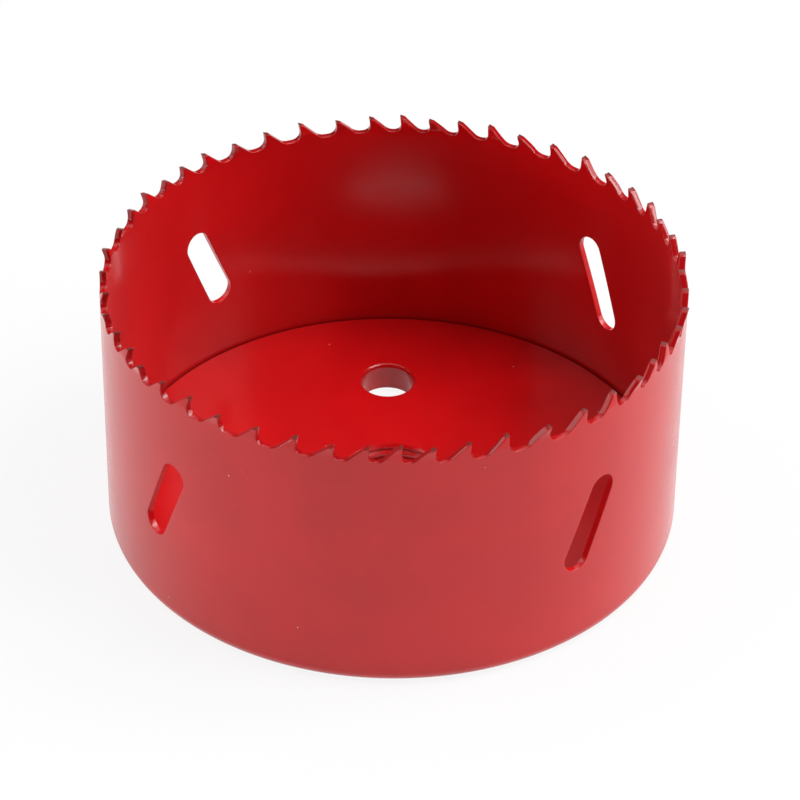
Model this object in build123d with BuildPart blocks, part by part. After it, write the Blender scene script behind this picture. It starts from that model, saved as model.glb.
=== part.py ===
"""Hole saw, 86 mm, for a 5/8 inch arbor: a toothed cup wall with a thick cap inside its lower end.

Teeth up.  Z = 0 is the face that seats against the arbor and +Z points to the teeth.
Azimuths are counted counter-clockwise from +X, seen from the toothed end.
"""
from build123d import *
import os
from math import acos, cos, degrees, pi, radians, sin, tan

# ---- driving sizes, mm and degrees -------------------------------------------------------
cutting_diameter = 86.0       # across the teeth that are set outwards
overall_height = 41.8         # seating face to tooth tips
wall = 1.0                    # gauge of the toothed strip
corner_radius = 2.2           # the ground and rounded lower edge

tooth_set = 0.4               # how far a set tip leans out of, or into, the line of the wall
short_pitch = 4.45            # tightest tooth pitch of each wave
least_depth = 1.3             # tooth depth is this much
depth_per_pitch = 0.22        # and this much more for each millimetre of pitch
rake_angle = 7.0              # undercut of the cutting face
land = 0.75                   # narrow flank right behind the tip
land_angle = 18.0
back_angle = 42.0             # fall of the tooth's back
root_share = 0.22             # radius of the gullet under the cutting face, as a share of the pitch
heel_share = 0.3              # and at the foot of the next tooth's back
first_tip = 47.9              # azimuth of the first tooth's tip

slot_width = 4.4
slot_length = 15.5            # over the round ends
slot_lean = 23.0              # from the vertical
slot_height = 21.4            # centre of the slots above the seating face
slot_azimuths = (41.0, 133.5, 220.8, 311.0)

cap_thickness = 4.6
cap_chamfer = 0.55            # leaves the fine groove around the floor
arbor_bore = 14.6             # minor diameter of the 5/8-18 thread
arbor_chamfer = 0.8
pin_hole = 6.6                # drive pins of the arbor
pin_circle = 25.4
pin_azimuth = 2.0
knockout_hole = 8.0           # for pushing a wood plug out
knockout_circle = 49.2
knockout_azimuth = 92.0
knockout_chamfer = 0.6        # on its upper edge

# ---- sizes that follow --------------------------------------------------------------------
body_radius = cutting_diameter / 2 - tooth_set
inner_radius = body_radius - wall
reach = body_radius + 2 * tooth_set       # a radial cut this long leaves the wall behind it
over = 1.0                                # how far the cuts stand above the tips

# The toothed strip has waves of pitch: each starts wide, tightens and widens again.
# A wave is (number of teeth, pitch where it starts).  The strip's ends meet in the last two.
waves = (
    (9, 5.75),
    (9, 5.86),
    (9, 5.73),
    (9, 5.97),
    (7, 6.31),
    (9, 4.78),
)
lean_of = {"out": tooth_set, "straight": 0.0, "in": -tooth_set}
set_order = ("out", "straight", "in")


def wave_pitches(count, start, end):
    """Pitches of one wave, from a wide one through the tightest and back."""
    for k in range(count):
        crest = start if 2 * k < count else end
        yield short_pitch + (crest - short_pitch) * cos(pi * k / count) ** 2


def tooth_row():
    """Angular pitch and set of every tooth, the pitches stretched to close the circle."""
    pitches = []
    sets = []
    for number, (count, start) in enumerate(waves):
        end = waves[(number + 1) % len(waves)][1]
        pitches += wave_pitches(count, start, end)
        sets += [set_order[k % len(set_order)] for k in range(count)]
    stretch = 360.0 / sum(pitches)
    return [pitch * stretch for pitch in pitches], sets


def length_of(pitch_angle):
    """Length along the wall of a pitch of this many degrees."""
    return radians(pitch_angle) * body_radius


def depth_at(pitch_angle):
    """Depth of the gullet in a pitch of this many degrees."""
    return least_depth + depth_per_pitch * length_of(pitch_angle)


def radial_plane(azimuth, height):
    """Upright plane through the axis: local x runs counter-clockwise, local y up, z outwards."""
    along = (-sin(radians(azimuth)), cos(radians(azimuth)), 0)
    outwards = (cos(radians(azimuth)), sin(radians(azimuth)), 0)
    return Plane(origin=(0, 0, height), x_dir=along, z_dir=outwards)


def section_plane(azimuth):
    """Upright half-plane for a revolved section: local x is the radius, local y up."""
    outwards = (cos(radians(azimuth)), sin(radians(azimuth)), 0)
    along = (sin(radians(azimuth)), -cos(radians(azimuth)), 0)
    return Plane(origin=(0, 0, 0), x_dir=outwards, z_dir=along)


pitch_angles, tooth_sets = tooth_row()
tips = [first_tip + sum(pitch_angles[:k]) for k in range(len(pitch_angles))]
bend_height = overall_height - 0.85 * depth_at(min(pitch_angles))
gullet_middle = root_share * min(pitch_angles)          # from a tip to the floor of its gullet
corner_share = degrees(acos((corner_radius - wall) / corner_radius))   # the wall's part of the corner
wall_foot = corner_radius * (1 - sin(radians(corner_share)))           # where the cap's bevel takes over

# ---- cup wall: toothed strip rolled into a ring, teeth set and gullets cut --------------------
with BuildPart() as cup_wall:
    with BuildSketch(Plane.XZ):
        with BuildLine():
            edge = CenterArc((body_radius - corner_radius, corner_radius), corner_radius,
                             -corner_share, corner_share)
            Polyline(edge @ 1, (body_radius, bend_height), (inner_radius, bend_height), edge @ 0)
        make_face()
    revolve(axis=Axis.Z)

    for tip, ahead, behind, kind in zip(tips, pitch_angles, pitch_angles[-1:] + pitch_angles, tooth_sets):
        start = tip - behind + gullet_middle
        lean = lean_of[kind]
        with BuildSketch(section_plane(start)):
            with BuildLine():
                Polyline((inner_radius, bend_height), (body_radius, bend_height),
                         (body_radius + lean, overall_height), (inner_radius + lean, overall_height),
                         close=True)
            make_face()
        revolve(axis=Axis.Z, revolution_arc=behind)

    for tip, pitch in zip(tips, pitch_angles):
        half = body_radius * sin(radians(pitch / 2))
        depth = depth_at(pitch)
        drop = land * tan(radians(land_angle))
        back_run = (depth - drop) / tan(radians(back_angle))
        with BuildSketch(radial_plane(tip + pitch / 2, overall_height)) as gullet:
            with BuildLine():
                Polyline((-half, over), (-half, 0), (-half - depth * tan(radians(rake_angle)), -depth),
                         (half - land - back_run, -depth), (half - land, -drop), (half, 0),
                         (half, over), close=True)
            make_face()
            root, heel = gullet.vertices().group_by(Axis.Y)[0].sort_by(Axis.X)
            fillet(root, root_share * length_of(pitch))
            fillet(gullet.vertices().group_by(Axis.Y)[0].sort_by(Axis.X)[-1], heel_share * length_of(pitch))
        extrude(amount=reach, mode=Mode.SUBTRACT)

    for azimuth in slot_azimuths:
        with BuildSketch(radial_plane(azimuth, slot_height)):
            SlotOverall(slot_length, slot_width, rotation=90 - slot_lean)
        extrude(amount=reach, mode=Mode.SUBTRACT)

# ---- cap: thick disc inside the wall, bevelled where the wall's rounded lower edge runs out ----
with BuildPart() as cap:
    with BuildSketch(Plane.XZ):
        with BuildLine():
            Polyline((0, 0), (body_radius - corner_radius, 0), (inner_radius, wall_foot),
                     (inner_radius, cap_thickness - cap_chamfer),
                     (inner_radius - cap_chamfer, cap_thickness), (0, cap_thickness), close=True)
        make_face()
    revolve(axis=Axis.Z)

    Hole(arbor_bore / 2)
    chamfer(cap.edges().filter_by(GeomType.CIRCLE).sort_by(SortBy.RADIUS)[:2], arbor_chamfer)

    with PolarLocations(pin_circle / 2, 2, start_angle=pin_azimuth):
        Hole(pin_hole / 2)

    with Locations((0, 0, cap_thickness)):
        with PolarLocations(knockout_circle / 2, 2, start_angle=knockout_azimuth):
            CounterSinkHole(knockout_hole / 2, knockout_hole / 2 + knockout_chamfer,
                            counter_sink_angle=90)

cup_wall.part.label = "cup_wall"
cap.part.label = "cap"
os.makedirs("parts", exist_ok=True)
export_step(cup_wall.part, "parts/cup_wall.step")
export_step(cap.part, "parts/cap.step")
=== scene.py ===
# %% [markdown]
# # A hole saw, teeth up
# A hole saw is a cup: a thin toothed strip rolled into a ring, with a thick steel disc welded
# into its lower end, all under one coat of red enamel. The imported part is the fixed frame.

# %% Load the imported part
from math import acos, cos, pi, radians, sin, sqrt, tan

import bmesh
import bpy
from mathutils import Matrix, Vector


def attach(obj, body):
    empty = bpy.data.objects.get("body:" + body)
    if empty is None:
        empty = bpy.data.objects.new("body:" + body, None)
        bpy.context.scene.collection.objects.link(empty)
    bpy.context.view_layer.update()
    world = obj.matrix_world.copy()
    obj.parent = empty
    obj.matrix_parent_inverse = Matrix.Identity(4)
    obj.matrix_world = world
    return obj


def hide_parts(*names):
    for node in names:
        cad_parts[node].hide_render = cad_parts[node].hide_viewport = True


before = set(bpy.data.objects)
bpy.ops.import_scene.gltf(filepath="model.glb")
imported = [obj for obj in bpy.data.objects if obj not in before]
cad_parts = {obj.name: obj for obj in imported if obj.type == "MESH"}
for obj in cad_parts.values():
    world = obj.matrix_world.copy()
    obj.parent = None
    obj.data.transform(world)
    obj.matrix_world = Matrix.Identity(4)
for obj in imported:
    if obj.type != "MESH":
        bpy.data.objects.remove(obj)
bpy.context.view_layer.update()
scene = bpy.context.scene
scene.view_settings.view_transform = "Standard"
print("frame nodes:", sorted(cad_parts))

# %% [markdown]
# ## Camera
# A long lens looks down over the front edge, from about half a metre away. The turn is written
# as pan, tilt and roll, as on a tripod head, and one small function makes the matrix of it.

# %% Camera
SIDE = 800                 # pixels along the square picture
FOCAL = 3667.4             # focal length in those pixels
PLACE = (0, -0.4374, 0.3420)
PAN = radians(0.142)
TILT = radians(36.457)
ROLL = radians(0.738)


def tripod_turn(pan, tilt, roll):
    """Turn of a camera that looks along +Y, panned right, tilted down and rolled."""
    forward = Vector((sin(pan) * cos(tilt), cos(pan) * cos(tilt), -sin(tilt)))
    right = forward.cross(Vector((0, 0, 1))).normalized()
    up = right.cross(forward)
    side = right * cos(roll) + up * sin(roll)
    top = up * cos(roll) - right * sin(roll)
    return Matrix((side, top, -forward)).transposed().to_4x4()


camera_data = bpy.data.cameras.new("camera")
camera_data.sensor_width = 36
camera_data.lens = FOCAL * camera_data.sensor_width / SIDE
camera_data.clip_start = 0.01
camera_data.clip_end = 20
camera = bpy.data.objects.new("camera", camera_data)
camera.matrix_world = Matrix.Translation(PLACE) @ tripod_turn(PAN, TILT, ROLL)
scene.collection.objects.link(camera)
scene.camera = camera
print("lens, mm:", round(camera_data.lens, 1))
print("distance, m:", round(Vector(PLACE).length, 2))

# %% [markdown]
# ## Sizes
# The same driving sizes as the solid part, in millimetres. Meshes are shaped in millimetres
# too and scaled to metres as the last step, so that merge distances read like workshop ones.

# %% Sizes in millimetres
MM = 0.001
body_radius = 42.6
wall = 1.0
height = 41.8
corner = 2.2
inner_radius = body_radius - wall
tooth_set = 0.4
short_pitch = 4.45
least_depth = 1.3
depth_per_pitch = 0.22
land = 0.75                # narrow flank right behind the tip
land_angle = radians(18)
rake_angle = radians(7)    # undercut of the cutting face
back_angle = radians(42)
first_tip = radians(47.9)
waves = (                  # number of teeth, pitch where the wave starts
    (9, 5.75), (9, 5.86), (9, 5.73), (9, 5.97), (7, 6.31), (9, 4.78),
)
circumference = 2 * pi * body_radius
corner_share = acos((corner - wall) / corner)
wall_foot = corner * (1 - sin(corner_share))
print("circumference, mm:", round(circumference, 1))


# %% [markdown]
# ## Turning a bmesh into a piece
# Every piece ends the same way: doubles merged, normals checked, scaled to metres, shaded
# smooth, and set to ride on the part. Weighted Normal keeps flat faces flat next to their
# rounded edges, which matters on a gloss finish where every soft gradient shows.

# %% Finishing helper
SHARP = radians(35)        # an edge that turns more than this stays sharp


def finish_piece(bm, name, node, merge=0.0005):
    """Make an object of a millimetre bmesh and let it stand for a node of the part."""
    bmesh.ops.remove_doubles(bm, verts=bm.verts, dist=merge)
    bmesh.ops.dissolve_degenerate(bm, dist=merge, edges=bm.edges)
    bmesh.ops.recalc_face_normals(bm, faces=bm.faces)
    open_edges = sum(1 for e in bm.edges if len(e.link_faces) != 2)
    bmesh.ops.scale(bm, vec=(MM, MM, MM), verts=bm.verts)
    mesh = bpy.data.meshes.new(name)
    bm.to_mesh(mesh)
    bm.free()
    mesh.shade_smooth()
    mesh.set_sharp_from_angle(angle=SHARP)
    piece = bpy.data.objects.new(name, mesh)
    scene.collection.objects.link(piece)
    smooth = piece.modifiers.new("flat faces stay flat", "WEIGHTED_NORMAL")
    smooth.keep_sharp = True
    smooth.weight = 90
    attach(piece, "root")
    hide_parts(node)
    triangles = sum(len(p.vertices) - 2 for p in mesh.polygons)
    print(name, "triangles:", triangles, "open edges:", open_edges)
    return piece


# %% [markdown]
# ## The toothed strip, flat
# On the real saw the teeth and slots are cut while the strip lies flat, and it is rolled
# afterwards. The mesh is made in that order too, since every cut is then a plane figure. The
# pitch swings between wide and tight in waves, so that the saw doesn't sing, and the teeth are
# set outwards, straight and inwards in turn. The ring has to be cut open somewhere to lie flat,
# and a gullet well away from the slots is the simplest place to close it again.

# %% Pitch and set of every tooth
def tooth_row():
    """Pitch and set of every tooth, the pitches stretched to close the ring."""
    pitches = []
    leans = []
    for number, (count, widest) in enumerate(waves):
        next_widest = waves[(number + 1) % len(waves)][1]
        for k in range(count):
            crest = widest if 2 * k < count else next_widest
            pitches.append(short_pitch + (crest - short_pitch) * cos(pi * k / count) ** 2)
            leans.append((tooth_set, 0.0, -tooth_set)[k % 3])
    stretch = circumference / sum(pitches)
    return [pitch * stretch for pitch in pitches], leans


JOINT = 7                  # the strip is cut open ahead of this tooth, clear of the slots
pitches, leans = tooth_row()
tips = [first_tip * body_radius + sum(pitches[:k]) for k in range(len(pitches))]
tips = tips[JOINT:] + [tip + circumference for tip in tips[:JOINT]]
pitches = pitches[JOINT:] + pitches[:JOINT]
leans = leans[JOINT:] + leans[:JOINT]
depths = [least_depth + depth_per_pitch * pitch for pitch in pitches]
BEND_SHARE = 0.85          # the teeth bend just above the floor of the shallowest gullet
bend = height - BEND_SHARE * min(depths)
print(len(tips), "teeth, pitch", round(min(pitches), 2), "to", round(max(pitches), 2), "mm")

# %% [markdown]
# The outline needs only four points a tooth: foot of the back, end of the land, tip, and root
# of the gullet. The gullet's curves come from rounding single corners with a vertex bevel,
# as a milling cutter's nose would. The strip is left a little long at both ends and below,
# and trimmed later, so that its rounded edges don't run into the joint.

# %% Outline of the blank
ROOT = 0.22                # radius of the curve under the cutting face, a share of the pitch
HEEL = 0.3                 # radius of the curve at the foot of a tooth's back
ROOT_END = 1.13            # how far each curve runs along the floor, in its own radii
HEEL_END = 0.39
NOSE_SIDES = 7             # short sides that make up each of the curves
SPARE = 1.0                # trimmed off again


def heel_x(k):
    """Foot of the tooth back that ends the gullet of tooth k."""
    run = (depths[k] - land * tan(land_angle)) / tan(back_angle)
    return tips[k] + pitches[k] - land - run


def root_x(k):
    """Root of the undercut face of tooth k, before it is rounded."""
    return tips[k] - depths[k] * tan(rake_angle)


last = len(tips) - 1
floor_from = root_x(last) + ROOT * pitches[last] * ROOT_END
floor_to = heel_x(last) - HEEL * pitches[last] * HEEL_END
seam = (floor_from + floor_to) / 2       # the middle of the last gullet's flat floor
start = seam - circumference

bm = bmesh.new()
corners = []               # (x, z, rounding reach)
corners.append((start - SPARE, height - depths[last], 0))
for k in range(len(tips)):
    before = (k - 1) % len(tips)
    wrap = circumference if k == 0 else 0
    corners.append((heel_x(before) - wrap, height - depths[before],
                    HEEL * pitches[before] / tan((pi - back_angle) / 2)))
    corners.append((tips[k] - land, height - land * tan(land_angle), 0))
    corners.append((tips[k], height, 0))
    corners.append((root_x(k), height - depths[k],
                    ROOT * pitches[k] / tan((pi / 2 - rake_angle) / 2)))
corners.append((seam + SPARE, height - depths[last], 0))
corners.append((seam + SPARE, wall_foot - SPARE, 0))
corners.append((start - SPARE, wall_foot - SPARE, 0))
points = [bm.verts.new((x, 0, z)) for x, z, reach in corners]
bm.faces.new(points)
for vert, (x, z, reach) in zip(points, corners):
    if reach:
        bmesh.ops.bevel(bm, geom=[vert], offset=reach, offset_type="OFFSET",
                        segments=NOSE_SIDES, profile=0.5, affect="VERTICES", material=-1)
print("points round the blank:", len(bm.verts))

# %% [markdown]
# Sprayed enamel draws back from a sharp edge and rounds it, so the blank gets three narrow
# insets along its outline while it is still a single face, which is when an inset is exact.
# They later step round a quarter circle. Every vertex keeps its share of that step in a value
# of its own: 1 on the cut side of the plate, 0 on its flat face.

# %% Rings for the soft edge
EDGE_RADIUS = 0.09
STEPS = 3
drop = bm.verts.layers.float.new("edge")


def ring_reach(k):
    """How far ring k lies from the cut side: the quarter circle seen from above."""
    return EDGE_RADIUS * (1 - cos(pi / 2 * k / STEPS))


def ring_drop(k):
    """How far ring k lies below the flat face, as a share of the radius."""
    return 1 - sin(pi / 2 * k / STEPS)


for vert in bm.verts:
    vert[drop] = 1.0
blank = bm.faces[:]
for k in range(STEPS):
    bmesh.ops.inset_region(bm, faces=blank, use_boundary=True, use_even_offset=True,
                           thickness=ring_reach(k + 1) - ring_reach(k))
    for vert in {v for f in blank for v in f.verts}:
        vert[drop] = ring_drop(k + 1)
print("faces in the blank:", len(bm.faces))

# %% [markdown]
# ## Lines to bend along
# A flat face can't bend, so the blank is scored first: upright lines one degree apart, and
# level lines where the teeth lean and where the lower corner rounds. A plane cut makes each
# line. Halving the blank again and again keeps every cut short, so this stays quick.

# %% Score the blank
COLUMNS = 360              # upright lines round the ring
CORNER_STEPS = 8
SLOT_FOOT = 8.0            # level lines below and above the slots
SLOT_HEAD = 34.0
LEAN_STEPS = (0.15, 0.35, 0.6, 0.8)      # up the leaning part of the teeth, as shares of it
SNAP = 1e-4                # a corner this near to a cutting plane counts as on it


def cut(bm, faces, co, no):
    """Cut some faces with a plane and return them behind it and in front of it."""
    geom = list({g for f in faces for g in (f, *f.verts, *f.edges)})
    made = bmesh.ops.bisect_plane(bm, geom=geom, dist=SNAP, plane_co=co, plane_no=no)["geom"]
    co = Vector(co)
    no = Vector(no)
    parts = [g for g in made if isinstance(g, bmesh.types.BMFace)]
    ahead = [f for f in parts if (f.calc_center_median() - co).dot(no) > 0]
    behind = [f for f in parts if (f.calc_center_median() - co).dot(no) <= 0]
    return behind, ahead


def score(bm, faces, low, high, count):
    """Halve a stretch of the blank at upright lines until its columns are one line apart."""
    if count < 2:
        return
    half = count // 2
    x = low + (high - low) * half / count
    left, right = cut(bm, faces, (x, 0, 0), (1, 0, 0))
    score(bm, left, low, x, half)
    score(bm, right, x, high, count - half)


score(bm, bm.faces[:], start, seam, COLUMNS)
levels = [corner * (1 - sin(corner_share * k / CORNER_STEPS)) for k in range(CORNER_STEPS)]
levels += [SLOT_FOOT, SLOT_HEAD, bend]
levels += [bend + share * (height - bend) for share in LEAN_STEPS]
for z in levels:
    cut(bm, bm.faces[:], (0, 0, z), (0, 0, 1))
print("faces after scoring:", len(bm.faces))

# %% [markdown]
# ## Slots
# A slot is nibbled out: each short side of its outline cuts only what is still inside, and
# the piece that is left in the middle falls out. The outline is a circle pulled apart into
# two half circles, then leaned over. It is cut at four sizes, from the widest ring of the soft
# edge down to the slot itself, so that the slots get the same rings as the blank.

# %% Nibble the slots
slot_width = 4.4
slot_length = 15.5
slot_lean = radians(23)
slot_height = 21.4
slot_azimuths = [radians(a) for a in (41.0, 133.5, 220.8, 311.0)]
SIDES = 48                 # of a slot's outline


def slot_outline(x, grow):
    """Corners of a slot's outline, every side moved out by the same distance."""
    radius = slot_width / 2 + grow / cos(pi / SIDES)
    points = []
    for k in range(SIDES):
        turn = (k + 0.5) * 2 * pi / SIDES
        side = (slot_length - slot_width) / 2 * (1 if sin(turn) > 0 else -1)
        point = Vector((radius * cos(turn), 0, radius * sin(turn) + side))
        points.append(Matrix.Rotation(slot_lean, 3, "Y") @ point + Vector((x, 0, slot_height)))
    return points


def beyond(point, outline):
    """Distance of a point beyond the sides of an outline, below zero inside it."""
    far = -slot_length
    for here, there in zip(outline, outline[1:] + outline[:1]):
        along = (there - here).normalized()
        far = max(far, (point - here).dot(Vector((along.z, 0, -along.x))))
    return far


def near_slot(point, x):
    """Whether a point lies in the square round a slot at x."""
    return abs(point.x - x) < slot_length and abs(point.z - slot_height) < slot_length


for azimuth in slot_azimuths:
    x = azimuth * body_radius
    x += circumference * round(((start + seam) / 2 - x) / circumference)
    inside = [f for f in bm.faces if near_slot(f.calc_center_median(), x)]
    for k in range(STEPS, -1, -1):
        outline = slot_outline(x, ring_reach(k))
        for here, there in zip(outline, outline[1:] + outline[:1]):
            along = there - here
            inside = cut(bm, inside, here, (along.z, 0, -along.x))[0]
    bmesh.ops.delete(bm, geom=inside, context="FACES")
    for vert in bm.verts:
        if near_slot(vert.co, x):
            far = min(max(beyond(vert.co, outline), 0), EDGE_RADIUS)
            vert[drop] = 1 - sqrt(max(1 - (1 - far / EDGE_RADIUS) ** 2, 0))
print("faces after the slots:", len(bm.faces))

# %% [markdown]
# ## Thickness
# The flat sheet becomes a closed plate in one extrusion. The old sheet sinks to be the inner
# face, the new one rises to be the outer face, and each vertex keeps back by its share of the
# soft edge. Then the spare ends and the spare foot are trimmed off. The finish gets two marks:
# "sawn" is 1 on the cut sides of the plate, and "edge" is high on the round of an edge only.

# %% From sheet to plate
sawn = bm.verts.layers.float.new("sawn")
drop = bm.verts.layers.float["edge"]     # fetched again, because a new layer moves the others
raised = bmesh.ops.extrude_face_region(bm, geom=bm.faces[:])["geom"]
outer = {g for g in raised if isinstance(g, bmesh.types.BMVert)}
for vert in bm.verts:
    half = wall / 2 - EDGE_RADIUS * vert[drop]
    vert.co.y = half if vert in outer else -half
    vert[sawn] = vert[drop]
    vert[drop] = 4 * vert[drop] * (1 - vert[drop])
trims = [                  # point on the cutting plane, side that is cut away
    ((start, 0, 0), (-1, 0, 0)),
    ((seam, 0, 0), (1, 0, 0)),
    ((0, 0, wall_foot), (0, 0, -1)),
]
for co, no in trims:
    bmesh.ops.bisect_plane(bm, geom=bm.verts[:] + bm.edges[:] + bm.faces[:], dist=SNAP,
                           plane_co=co, plane_no=no, clear_outer=True)
thickness = max(v.co.y for v in bm.verts) - min(v.co.y for v in bm.verts)
print("plate thickness, mm:", round(thickness, 3))


# %% [markdown]
# ## Setting the teeth and rolling the ring
# Each tooth leans over the part of its height above the bend. The lean starts softly, since
# sheet steel bends round a radius. The roll is a plain change of coordinates: length along
# the strip becomes an angle. At the foot the outer face is drawn in along the ground corner.

# %% Set, round the foot, and roll
gullet_floor = ROOT * min(pitches)


def lean_at(x, z):
    """How far the set of the tooth at x pushes the plate outwards at height z."""
    if z <= bend:
        return 0.0
    k = next((i for i, tip in enumerate(tips) if x < tip + gullet_floor), 0)
    rise = (z - bend) / (height - bend)
    return leans[k] * rise * rise * (2 - rise)


for vert in bm.verts:
    x, y, z = vert.co
    outwards = y + wall / 2
    if z < corner:
        reach = sqrt(max(corner ** 2 - (corner - z) ** 2, 0)) + body_radius - corner
        outwards *= max(reach - inner_radius, 0) / wall
    radius = inner_radius + outwards + lean_at(x, z)
    vert.co = (radius * cos(x / body_radius), radius * sin(x / body_radius), z)

cup_wall = finish_piece(bm, "toothed_wall", "cup_wall")

# %% [markdown]
# ## The cap
# The disc is turned, drilled and tapped. It has an arbor hole in the middle, two drive pin
# holes beside it, and two knock-out holes through which a wood plug is pushed out.

# %% Sizes of the cap
cap_thickness = 4.6
groove = 0.55              # width of the groove round the floor
thread_minor = 7.3         # inner radius of the arbor's thread
thread_depth = 0.62
thread_pitch = 25.4 / 18
arbor_edge = 0.8           # chamfer at both ends of the arbor hole
pin_circle = 12.7          # radius of the circle that the pair's centres lie on
pin_radius = 3.3
pin_azimuth = radians(2)
pin_edge = 0.25
knockout_circle = 24.6
knockout_radius = 4.0
knockout_azimuth = radians(92)
knockout_round = 0.6       # on its upper edge
knockout_edge = 0.2        # on its lower edge
holes = [                  # name, x, y, radius, edge above, edge below
    ("arbor", 0, 0, thread_minor, arbor_edge, arbor_edge),
]
for k in range(2):
    turn = pin_azimuth + k * pi
    holes.append(("pin", pin_circle * cos(turn), pin_circle * sin(turn),
                  pin_radius, pin_edge, pin_edge))
    turn = knockout_azimuth + k * pi
    holes.append(("knock-out", knockout_circle * cos(turn), knockout_circle * sin(turn),
                  knockout_radius, knockout_round, knockout_edge))
print("holes in the cap:", len(holes))

# %% [markdown]
# Every hole is its own edge loop, pulled through the thickness in steps that give it its
# chamfer or its round. The thread is many short steps, each moved out where the tap bit: a
# point's height and its angle together say how far along the helix it lies.


# %% Loops, bores and thread
SKIN = 0.02                # plain rim above and below the thread
ROWS = 60                  # steps down the thread
ROUND_STEPS = 6            # steps round the upper edge of a knock-out hole
FLANK = 1.35               # steepness of the thread's sides, in depths per half pitch
CREST = 0.18               # taken off their rise, so that crest and root both end up flat


def loop(bm, x, y, z, radius, segments):
    """Add a round edge loop and return its edges."""
    made = bmesh.ops.create_circle(bm, cap_ends=False, segments=segments, radius=radius,
                                   matrix=Matrix.Translation((x, y, z)))["verts"]
    return list({e for v in made for e in v.link_edges})


def pull(bm, edges, x, y, radius, z):
    """Extrude an edge loop round (x, y) to a new radius and height."""
    made = bmesh.ops.extrude_edge_only(bm, edges=edges)["geom"]
    verts = [g for g in made if isinstance(g, bmesh.types.BMVert)]
    for vert in verts:
        offset = Vector((vert.co.x - x, vert.co.y - y, 0)).normalized() * radius
        vert.co = (x + offset.x, y + offset.y, z)
    return [g for g in made if isinstance(g, bmesh.types.BMEdge)]


def bore_steps(name, radius, top_edge, low_edge):
    """Radius and height of each step down a hole, without its two ends."""
    if name == "arbor":
        depth = cap_thickness - 2 * SKIN
        return [(radius, cap_thickness - SKIN - depth * k / ROWS) for k in range(ROWS + 1)]
    if name == "pin":
        return [(radius, cap_thickness - top_edge), (radius, low_edge)]
    turns = [pi / 2 * k / ROUND_STEPS for k in range(1, ROUND_STEPS + 1)]
    steps = [(radius + top_edge * (1 - sin(turn)), cap_thickness - top_edge * (1 - cos(turn)))
             for turn in turns]
    return steps + [(radius, low_edge)]


def cut_thread(edges):
    """Move a row of the arbor's bore out to the thread or to the chamfer, whichever is wider."""
    for vert in {v for e in edges for v in e.verts}:
        z = vert.co.z
        turn = z / thread_pitch + Vector(vert.co.xy).angle_signed(Vector((1, 0))) / (2 * pi)
        ridge = abs((turn % 1.0) - 0.5) * 2
        bite = thread_depth * min(1.0, max(0.0, ridge * FLANK - CREST))
        cone = max(arbor_edge - (cap_thickness - z), arbor_edge - z)
        vert.co.xy = vert.co.xy.normalized() * (thread_minor + max(cone, bite))


print("turns of the thread:", round(cap_thickness / thread_pitch, 1))

# %% Drill and tap
ARBOR_SIDES = 144
HOLE_SIDES = 72
bm = bmesh.new()
above = []
below = []
for name, x, y, radius, top_edge, low_edge in holes:
    sides = ARBOR_SIDES if name == "arbor" else HOLE_SIDES
    ends = loop(bm, x, y, cap_thickness, radius + top_edge, sides)
    above += ends
    for r, z in bore_steps(name, radius, top_edge, low_edge):
        ends = pull(bm, ends, x, y, r, z)
        if name == "arbor":
            cut_thread(ends)
    below += pull(bm, ends, x, y, radius + low_edge, 0)
print("faces in the bores:", len(bm.faces))

# %% [markdown]
# The rim is one more loop, pulled down through the groove and round the ground lower corner.
# The floor and the underside are then each one flat sheet filled between the rim and the
# holes, which keeps them free of the ripples that a grid round five holes would have.

# %% Rim of the cap, and its two flat sheets
BEVEL_STEPS = 5
rim = loop(bm, 0, 0, cap_thickness, inner_radius - groove, COLUMNS)
above += rim
steps = [                  # in from the wall, height: the groove is widest at its top
    (0.46, 4.57), (0.36, 4.46), (0.28, 4.3), (0.2, 4.0), (0.14, 3.7), (0.0, 3.6),
    (0.0, wall_foot),
]
profile = [(inner_radius - gap, z) for gap, z in steps]
for k in range(1, BEVEL_STEPS + 1):
    turn = corner_share + (pi / 2 - corner_share) * k / BEVEL_STEPS
    profile.append((body_radius - corner + corner * cos(turn), corner * (1 - sin(turn))))
ends = rim
for r, z in profile:
    ends = pull(bm, ends, 0, 0, r, z)
below += ends
for edges, normal in ((above, (0, 0, 1)), (below, (0, 0, -1))):
    bmesh.ops.triangle_fill(bm, use_beauty=True, use_dissolve=False, edges=edges, normal=normal)
cap = finish_piece(bm, "cap_disc", "cap", merge=0.0002)

# %% [markdown]
# ## Enamel
# The saw is sprayed red all over after hardening, so one finish covers both pieces. A gloss
# plastic-like surface with a deep red under it is the base of it. Everything that varies is
# driven by Object coordinates, because they stay with the part and keep patterns at true size.
# The eye gets a deep even red with soft reflections, broken a little by the spraying.

# %% Colour and node helpers
def linear(code):
    """An sRGB hex colour as linear red, green, blue and alpha."""
    parts = [int(code[k:k + 2], 16) / 255 for k in (1, 3, 5)]
    return [c / 12.92 if c <= 0.04045 else ((c + 0.055) / 1.055) ** 2.4 for c in parts] + [1.0]


def add_node(tree, kind, settings=None, links=None):
    """Add a node, set its properties and inputs, and link sockets into its inputs."""
    made = tree.nodes.new(kind)
    for key, value in (settings or {}).items():
        if isinstance(key, int) or key in made.inputs:
            made.inputs[key].default_value = value
        else:
            setattr(made, key, value)
    for key, socket in (links or {}).items():
        tree.links.new(socket, made.inputs[key])
    return made


def per_metre(size_mm):
    """Pattern scale that makes features of about this size on coordinates in metres."""
    return 1 / (size_mm * MM)


print("scale of a 14 mm pattern:", round(per_metre(14), 1))

# %% [markdown]
# The red is not one flat value: it clouds a little over centimetres, where the coat is thicker
# or thinner. In a colour Mix node the two colours are inputs 6 and 7 and the result is output 2,
# because the node also carries sockets for plain numbers and for vectors.

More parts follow.
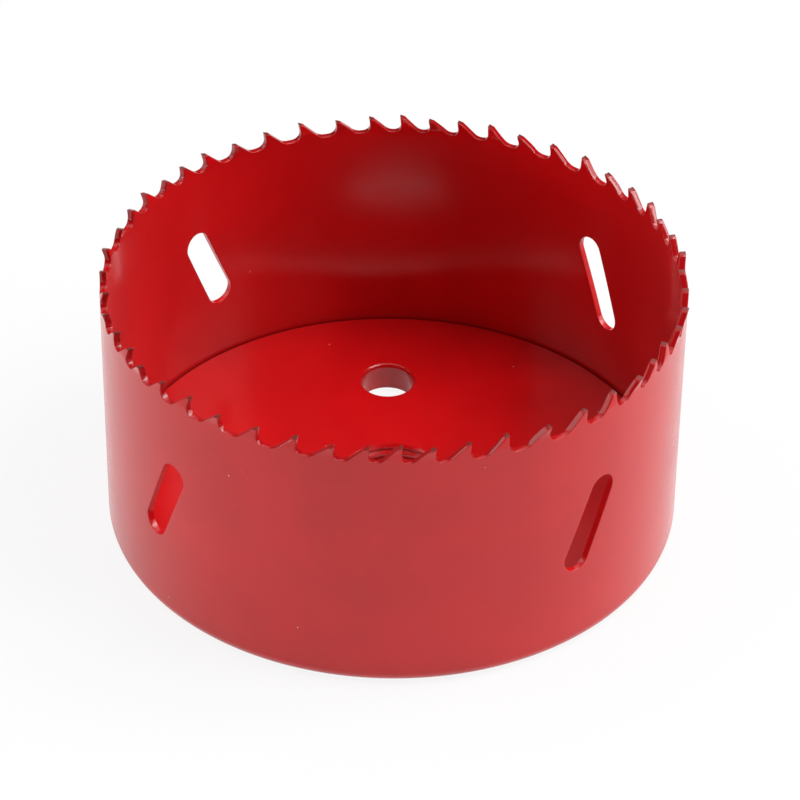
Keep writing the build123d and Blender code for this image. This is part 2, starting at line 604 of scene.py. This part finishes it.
# %% Red enamel, sprayed gloss: the cloudy red
enamel = bpy.data.materials.new("red enamel on steel, sprayed gloss")
enamel.use_nodes = True
tree = enamel.node_tree
shader = tree.nodes["Principled BSDF"]
coords = add_node(tree, "ShaderNodeTexCoord").outputs["Object"]
place = add_node(tree, "ShaderNodeSeparateXYZ", links={"Vector": coords})
level = place.outputs["Z"]
clouds = add_node(tree, "ShaderNodeTexNoise", {"Scale": per_metre(14.0)}, {"Vector": coords})
share = add_node(tree, "ShaderNodeMapRange", {"From Min": 0.35, "From Max": 0.65},
                 {"Value": clouds.outputs["Fac"]})
red = add_node(tree, "ShaderNodeMix",
               {"data_type": "RGBA", 6: linear("#be050b"), 7: linear("#c8070d")},
               {"Factor": share.outputs["Result"]})
print("cloudy red is mixed")

# %% [markdown]
# The sawn sides of the teeth and gullets are darkened with painted shade, which stands for the
# shade that the neighbouring tooth and the deep gullet give them. The mark left on the plate
# says where the sawn sides are, and the height keeps this painted shade to the teeth, so the
# slots stay the wall's red.

# %% Painted shade on the sawn sides of the teeth
side = add_node(tree, "ShaderNodeAttribute", {"attribute_name": "sawn"})
teeth = add_node(tree, "ShaderNodeMapRange", {"From Min": 38.6 * MM, "From Max": 39.6 * MM},
                 {"Value": level})
teeth = teeth.outputs["Result"]
sawn_teeth = add_node(tree, "ShaderNodeMath", {"operation": "MULTIPLY"},
                      {0: side.outputs["Fac"], 1: teeth})
sawn_shade = add_node(tree, "ShaderNodeMath", {"operation": "MULTIPLY", 1: 0.45},
                {0: sawn_teeth.outputs[0]})
# painted shade: the sawn sides of the teeth are darkened towards #74040a
skin = add_node(tree, "ShaderNodeMix", {"data_type": "RGBA", 7: linear("#74040a")},
                {"Factor": sawn_shade.outputs[0], 6: red.outputs[2]})
print("sawn sides are darker")

# %% [markdown]
# Enamel wears first where an edge cuts. The mark on the rounds of the plate says where an edge
# is, the height says which of them are teeth, and noise breaks the line up. The nibs of the
# tips, the last quarter millimetre, are worn as well. What shows through is hardened steel
# with a brown scale, so it turns partly into a metal, but neither a bright nor a smooth one.

# %% Worn cutting edges
mark = add_node(tree, "ShaderNodeAttribute", {"attribute_name": "edge"})
ragged = add_node(tree, "ShaderNodeTexNoise", {"Scale": per_metre(0.7), "Detail": 4.0},
                  {"Vector": coords})
ragged = ragged.outputs["Fac"]
broken = add_node(tree, "ShaderNodeMapRange",
                  {"From Min": 0.40, "From Max": 0.55, "To Min": 0.1, "To Max": 0.65},
                  {"Value": ragged})
rub = add_node(tree, "ShaderNodeMath", {"operation": "MULTIPLY"},
               {0: mark.outputs["Fac"], 1: teeth})
rub = add_node(tree, "ShaderNodeMath", {"operation": "MULTIPLY"},
               {0: rub.outputs[0], 1: broken.outputs["Result"]})
nib = add_node(tree, "ShaderNodeMath", {"operation": "MULTIPLY_ADD", 1: 0.5 * MM},
               {0: ragged, 2: level})
nib = add_node(tree, "ShaderNodeMapRange",
               {"From Min": 41.80 * MM, "From Max": 42.0 * MM, "To Max": 0.8},
               {"Value": nib.outputs[0]})
worn = add_node(tree, "ShaderNodeMath", {"operation": "MAXIMUM"},
                {0: rub.outputs[0], 1: nib.outputs["Result"]})
worn = worn.outputs[0]
skin = add_node(tree, "ShaderNodeMix", {"data_type": "RGBA", 7: linear("#6d332c")},
                {"Factor": worn, 6: skin.outputs[2]})
print("cutting edges are worn")

# %% [markdown]
# A few pale specks of dust cling to the enamel. Each cell of a cell pattern holds one speck at
# its centre, about a fifth of a millimetre wide, and a second random value leaves four cells
# out of five empty.

# %% Dust specks
cells = add_node(tree, "ShaderNodeTexVoronoi", {"Scale": per_metre(3.2)}, {"Vector": coords})
speck = add_node(tree, "ShaderNodeMapRange",
                 {"From Min": 0.028, "From Max": 0.04, "To Min": 1.0, "To Max": 0.0},
                 {"Value": cells.outputs["Distance"]})
lot = add_node(tree, "ShaderNodeSeparateColor", links={"Color": cells.outputs["Color"]})
kept = add_node(tree, "ShaderNodeMapRange", {"From Min": 0.80, "From Max": 0.81, "To Max": 0.6},
                {"Value": lot.outputs[0]})
speck = add_node(tree, "ShaderNodeMath", {"operation": "MULTIPLY"},
                 {0: speck.outputs["Result"], 1: kept.outputs["Result"]})
skin = add_node(tree, "ShaderNodeMix", {"data_type": "RGBA", 7: linear("#d9c4c0")},
                {"Factor": speck.outputs[0], 6: skin.outputs[2]})
print("specks are in")

# %% [markdown]
# The groove round the floor is darkened with painted shade, which stands for the shadow down in
# the gap between cap and wall. There is also one chip on the outer wall, about half a millimetre
# wide, that shows dark steel. Both are masks measured in millimetres: a radius and a height for
# the groove, and the distance from one point for the chip.

# %% Painted shade in the groove, and a chip
flat = add_node(tree, "ShaderNodeCombineXYZ",
                links={"X": place.outputs["X"], "Y": place.outputs["Y"]})
radius = add_node(tree, "ShaderNodeVectorMath", {"operation": "LENGTH"},
                  {"Vector": flat.outputs[0]})
radius = radius.outputs["Value"]
limits = [                 # value, from, to, share there
    (radius, 41.08, 41.3, 0.0, 1.0),
    (radius, 41.75, 41.8, 0.35, 0.0),
    (level, 4.45, 4.7, 1.0, 0.0),
    (level, 2.9, 3.0, 0.0, 1.0),
]
groove_shade = None
for value, low, high, before, after in limits:
    limit = add_node(tree, "ShaderNodeMapRange",
                     {"From Min": low * MM, "From Max": high * MM,
                      "To Min": before, "To Max": after}, {"Value": value})
    limit = limit.outputs["Result"]
    if groove_shade is not None:
        both = add_node(tree, "ShaderNodeMath", {"operation": "MULTIPLY"}, {0: groove_shade, 1: limit})
        limit = both.outputs[0]
    groove_shade = limit
# painted shade: the groove round the floor is darkened towards #4a0305
skin = add_node(tree, "ShaderNodeMix", {"data_type": "RGBA", 7: linear("#4a0305")},
                {"Factor": groove_shade, 6: skin.outputs[2]})
spot = (-19.8 * MM, -37.73 * MM, 34.1 * MM)
chip = add_node(tree, "ShaderNodeVectorMath", {"operation": "DISTANCE", 1: spot}, {0: coords})
chip = add_node(tree, "ShaderNodeMath", {"operation": "MULTIPLY_ADD", 1: 0.3 * MM},
                {0: ragged, 2: chip.outputs["Value"]})
chip = add_node(tree, "ShaderNodeMapRange",
                {"From Min": 0.28 * MM, "From Max": 0.42 * MM, "To Min": 0.6, "To Max": 0.0},
                {"Value": chip.outputs[0]})
skin = add_node(tree, "ShaderNodeMix", {"data_type": "RGBA", 7: linear("#5a1616")},
                {"Factor": chip.outputs["Result"], 6: skin.outputs[2]})
print("groove and chip are in")

# %% [markdown]
# Sprayed gloss mirrors its surroundings softly. The teeth are glossier, because the coat ran
# together in the gullets, and worn steel is duller. Orange peel, the faint ripple of sprayed
# paint, is a bump of about a millimetre and a half that is only microns high: it breaks up the
# reflections on the inner wall. A touch of sheen stands for the film of fine dust that makes
# the wall paler where it turns away.

# %% Gloss and ripple
sheen_patches = add_node(tree, "ShaderNodeTexNoise", {"Scale": per_metre(4.0)},
                         {"Vector": coords})
gloss = add_node(tree, "ShaderNodeMapRange",
                 {"From Min": 0.3, "From Max": 0.7, "To Min": 0.18, "To Max": 0.23},
                 {"Value": sheen_patches.outputs["Fac"]})
gloss = add_node(tree, "ShaderNodeMath", {"operation": "MULTIPLY_ADD", 1: -0.09},
                 {0: teeth, 2: gloss.outputs["Result"]})
gloss = add_node(tree, "ShaderNodeMath", {"operation": "MULTIPLY_ADD", 1: 0.25},
                 {0: worn, 2: gloss.outputs[0]})
metal = add_node(tree, "ShaderNodeMath", {"operation": "MULTIPLY", 1: 0.35}, {0: worn})
peel = add_node(tree, "ShaderNodeTexNoise", {"Scale": per_metre(1.5)}, {"Vector": coords})
ripple = add_node(tree, "ShaderNodeBump", {"Strength": 1.0, "Distance": 0.0035 * MM},
                  {"Height": peel.outputs["Fac"]})
tree.links.new(skin.outputs[2], shader.inputs["Base Color"])
tree.links.new(metal.outputs[0], shader.inputs["Metallic"])
tree.links.new(gloss.outputs[0], shader.inputs["Roughness"])
tree.links.new(ripple.outputs["Normal"], shader.inputs["Normal"])
shader.inputs["Sheen Weight"].default_value = 0.05
shader.inputs["Sheen Roughness"].default_value = 0.5
for piece in (cup_wall, cap):
    piece.data.materials.append(enamel)
print("nodes in the enamel:", len(tree.nodes))

# %% [markdown]
# ## Studio
# The saw stands on a sweep of matt white paper. For the light that falls on the saw the paper
# is plain. What the lens sees of it, and what the enamel mirrors of it, is mostly pure white,
# as paper looks in a bright studio, and the eighth of plain paper that is left keeps the shadow
# round the foot. The paper lies a hair below the foot, so that no two faces share a plane.

# %% Paper sweep
WHITE_SHARE = 0.88         # of the paper, as the lens and the enamel see it
HAIR = 0.05 * MM
bm = bmesh.new()
bmesh.ops.create_grid(bm, x_segments=1, y_segments=1, size=3)
bmesh.ops.translate(bm, verts=bm.verts, vec=(0, 0, -HAIR))
floor_mesh = bpy.data.meshes.new("floor")
bm.to_mesh(floor_mesh)
bm.free()
floor = bpy.data.objects.new("floor", floor_mesh)
scene.collection.objects.link(floor)


def shown_white(tree, rays, plain, white, share):
    """Mix a plain surface with white for the kinds of ray that are named."""
    path = add_node(tree, "ShaderNodeLightPath")
    seen = path.outputs[rays[0]]
    for name in rays[1:]:
        either = add_node(tree, "ShaderNodeMath", {"operation": "MAXIMUM"},
                          {0: seen, 1: path.outputs[name]})
        seen = either.outputs[0]
    part = add_node(tree, "ShaderNodeMath", {"operation": "MULTIPLY", 1: share}, {0: seen})
    return add_node(tree, "ShaderNodeMixShader", links={
        0: part.outputs[0], 1: plain.outputs[0], 2: white.outputs[0]})


paper = bpy.data.materials.new("white paper, matt sweep")
paper.use_nodes = True
tree = paper.node_tree
base = tree.nodes["Principled BSDF"]
base.inputs["Base Color"].default_value = linear("#e7e7e7")
base.inputs["Roughness"].default_value = 1.0
base.inputs["Specular IOR Level"].default_value = 0
glow = add_node(tree, "ShaderNodeEmission", {"Color": (1, 1, 1, 1), "Strength": 1.0})
rays = ["Is Camera Ray", "Is Glossy Ray", "Is Transmission Ray"]
mix = shown_white(tree, rays, base, glow, WHITE_SHARE)
tree.links.new(mix.outputs[0], tree.nodes["Material Output"].inputs[0])
floor.data.materials.append(paper)
print("nodes in the paper:", len(tree.nodes))

# %% [markdown]
# The room is white to the lens as well, but dark in the enamel, which is why the inner wall
# stays a deep red. It also gives a little light from all round, as a room does.

# %% Room
world = bpy.data.worlds.new("studio")
scene.world = world
world.use_nodes = True
tree = world.node_tree
room = tree.nodes["Background"]
room.inputs["Color"].default_value = (1, 1, 1, 1)
room.inputs["Strength"].default_value = 0.02
white = add_node(tree, "ShaderNodeBackground", {"Color": (1, 1, 1, 1), "Strength": 1.0})
mix = shown_white(tree, ["Is Camera Ray", "Is Transmission Ray"], room, white, 1.0)
tree.links.new(mix.outputs[0], tree.nodes["World Output"].inputs[0])
print("nodes in the room:", len(tree.nodes))

# %% [markdown]
# ## Soft boxes
# The right side is the bright one, and its boxes make the small square glints in the gullets.
# The left box is wide and weak, so that it lies as one even sheen on the backs of the teeth.
# The two low boxes lift the outer wall without shining into the cup, and the ones above and
# behind fill the floor.


# %% Softboxes
def softbox(name, place, target, size, power):
    """Add a rectangular lamp at a place, turned towards a target."""
    light = bpy.data.lights.new(name, "AREA")
    light.shape = "RECTANGLE"
    light.size = size[0]
    light.size_y = size[1]
    light.energy = power
    aim = (Vector(target) - Vector(place)).to_track_quat("-Z", "Y").to_matrix().to_4x4()
    lamp = bpy.data.objects.new(name, light)
    lamp.matrix_world = Matrix.Translation(place) @ aim
    scene.collection.objects.link(lamp)


middle = (0, 0, 0.02)
softbox("overhead box", (0, 0.1, 0.9), middle, (1.0, 1.0), 3.3)
softbox("right box", (0.8, 0, 0.45), middle, (0.65, 0.65), 4.3)
softbox("upper right box", (0.5, 0, 0.8), middle, (0.5, 0.5), 5.6)
softbox("left box", (-0.8, 0.08, 0.45), middle, (0.9, 0.75), 3.9)
softbox("high back box", (0, 0.6, 0.9), middle, (0.6, 0.6), 0.9)
softbox("low front box", (0, -0.9, 0.1), middle, (0.8, 0.2), 0.6)
softbox("low left box", (-0.75, -0.4, 0.07), middle, (0.6, 0.12), 1.6)
softbox("front right box", (0.6, -0.6, 0.5), middle, (0.5, 0.5), 0.5)
print("lamps:", len(bpy.data.lights))
